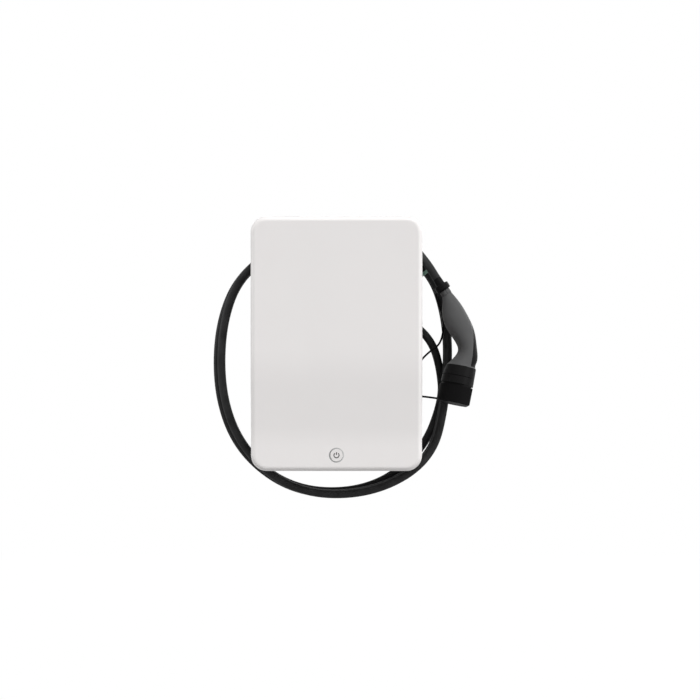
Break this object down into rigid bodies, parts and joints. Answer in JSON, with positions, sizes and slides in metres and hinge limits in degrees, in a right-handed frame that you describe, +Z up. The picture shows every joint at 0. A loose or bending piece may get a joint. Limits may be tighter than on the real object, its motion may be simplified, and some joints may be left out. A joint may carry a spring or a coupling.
{
  "type": "ev wallbox",
  "caption": "Wall-mounted car charging station: slim rounded cover with a stepped front and a ringed power button, its charging cable looped behind it and a capped plug hanging at the side.",
  "frame": {"origin": "middle of the four wall bolt holes, on the wall plane", "axes": "+X right as seen from the front, +Y into the wall, +Z up"},
  "size_m": [0.4378, 0.13, 0.4682],
  "materials": {
    "cover_plastic": "satin",
    "housing_plastic": "matt",
    "galvanised_steel": "galvanised",
    "screw_steel": "zinc plated",
    "seal_rubber": "matt",
    "light_guide": "translucent",
    "button_plastic": "satin",
    "board_green": "solder mask",
    "component_black": "matt",
    "terminal_plastic": "matt",
    "gland_plastic": "matt",
    "cable_rubber": "satin",
    "tie_green": "satin",
    "connector_grey": "fine grain",
    "connector_black": "fine grain",
    "contact_metal": "silver plated",
    "cap_rubber": "matt"
  },
  "bodies": {
    "station": {"wall_bracket": "galvanised_steel", "locking_screw": "screw_steel", "rear_housing": "housing_plastic", "housing_flange": "housing_plastic", "housing_seal": "seal_rubber", "front_cover": "cover_plastic", "cover_screws": "screw_steel", "light_ring": "light_guide", "switch_body": "component_black", "control_board": "board_green", "control_board_screws": "screw_steel", "main_board": "board_green", "main_board_screws": "screw_steel", "power_relays": "component_black", "power_supply_module": "component_black", "residual_current_sensor": "component_black", "supply_terminals": "terminal_plastic", "cable_terminals": "terminal_plastic", "supply_grommet": "seal_rubber", "gland_body": "gland_plastic", "gland_locknut": "gland_plastic", "gland_seal": "seal_rubber", "gland_nut": "gland_plastic", "cable_gland_lead": "cable_rubber", "cable_coil": "cable_rubber", "cable_tie": "tie_green", "cable_connector_lead": "cable_rubber", "tether_collar": "connector_black", "connector_tail_nut": "connector_grey", "grip_shell": "connector_grey", "grip_spine": "connector_black", "plug_shell": "connector_black", "contact_carrier": "connector_black", "power_contacts": "contact_metal", "signal_contacts": "contact_metal", "cap_tether": "cap_rubber"},
    "button": {"power_button": "button_plastic", "switch_plunger": "component_black"},
    "cap": {"dust_cap": "cap_rubber"}
  },
  "joints": [
    {"name": "power_button_press", "type": "slide", "parent": "station", "child": "button", "axis": [0, 1, 0], "range_m": [0, 0.001], "stiffness_N_per_m": 2500, "springref_m": -0.0002},
    {"name": "dust_cap_pull", "type": "slide", "parent": "station", "child": "cap", "axis": [-0.2068, -0.1045, -0.9728], "range_m": [0, 0.035]}
  ]
}
